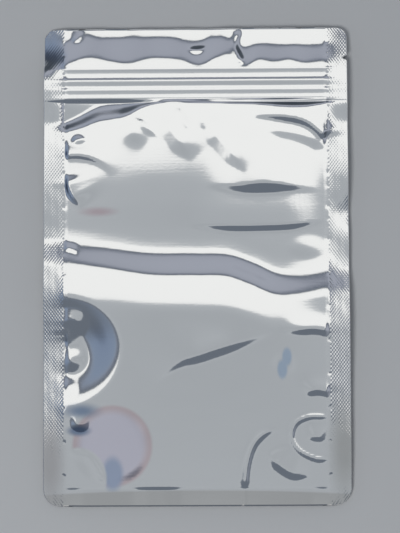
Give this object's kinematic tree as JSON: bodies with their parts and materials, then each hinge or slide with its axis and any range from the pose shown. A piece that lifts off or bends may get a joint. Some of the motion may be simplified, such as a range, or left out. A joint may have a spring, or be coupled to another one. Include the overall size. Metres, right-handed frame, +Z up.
{
  "type": "resealable foil pouch",
  "caption": "Flat foil pouch with three heat-sealed edges, a press zip under its open mouth and a tear notch, lying closed and lightly puffed.",
  "frame": {"origin": "under the middle of the pouch, on the surface its back film rests on", "axes": "+X across the pouch to the side with the tear notch, +Y from the bottom seal to the open mouth, +Z up out of the front film"},
  "size_m": [0.1, 0.157, 0.0061],
  "materials": {
    "foil": "bright metallised film, mirror smooth in the chamber and finely knurled in the heat seals",
    "zip_plastic": "natural soft polyethylene, milky"
  },
  "bodies": {
    "root": {"pouch": "foil", "zip_rib_strip": "zip_plastic", "zip_groove_strip": "zip_plastic"}
  },
  "joints": []
}
